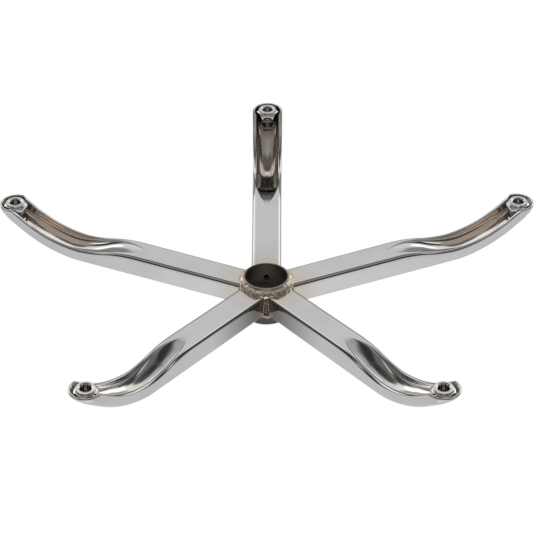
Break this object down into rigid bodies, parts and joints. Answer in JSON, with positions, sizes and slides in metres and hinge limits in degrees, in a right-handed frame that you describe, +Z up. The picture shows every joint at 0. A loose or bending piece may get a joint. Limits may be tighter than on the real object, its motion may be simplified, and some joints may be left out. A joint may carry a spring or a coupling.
{
  "type": "office chair five star base",
  "caption": "Star-shaped chromed steel base for a swivel chair: pressed arms welded round a tapered hub for the gas lift, each with a hexagonal caster socket under its curved tip.",
  "frame": {"origin": "on the hub's axis, in the plane of the caster sockets' mouths, on which the base stands", "axes": "+Z up along the hub's axis, towards the seat; arm_1 points along +Y"},
  "size_m": [0.6276, 0.5986, 0.089],
  "materials": {
    "chrome_plate": "bright chrome plate",
    "hub_steel": "steel tube, plated outside and dark inside",
    "socket_steel": "plated hexagonal steel",
    "weld_metal": "plated weld with a warm heat tint"
  },
  "bodies": {
    "root": {"hub_tube": "hub_steel", "arm_1": "chrome_plate", "arm_2": "chrome_plate", "arm_3": "chrome_plate", "arm_4": "chrome_plate", "arm_5": "chrome_plate", "caster_socket_1": "socket_steel", "caster_socket_2": "socket_steel", "caster_socket_3": "socket_steel", "caster_socket_4": "socket_steel", "caster_socket_5": "socket_steel", "weld_beads": "weld_metal"}
  },
  "joints": []
}
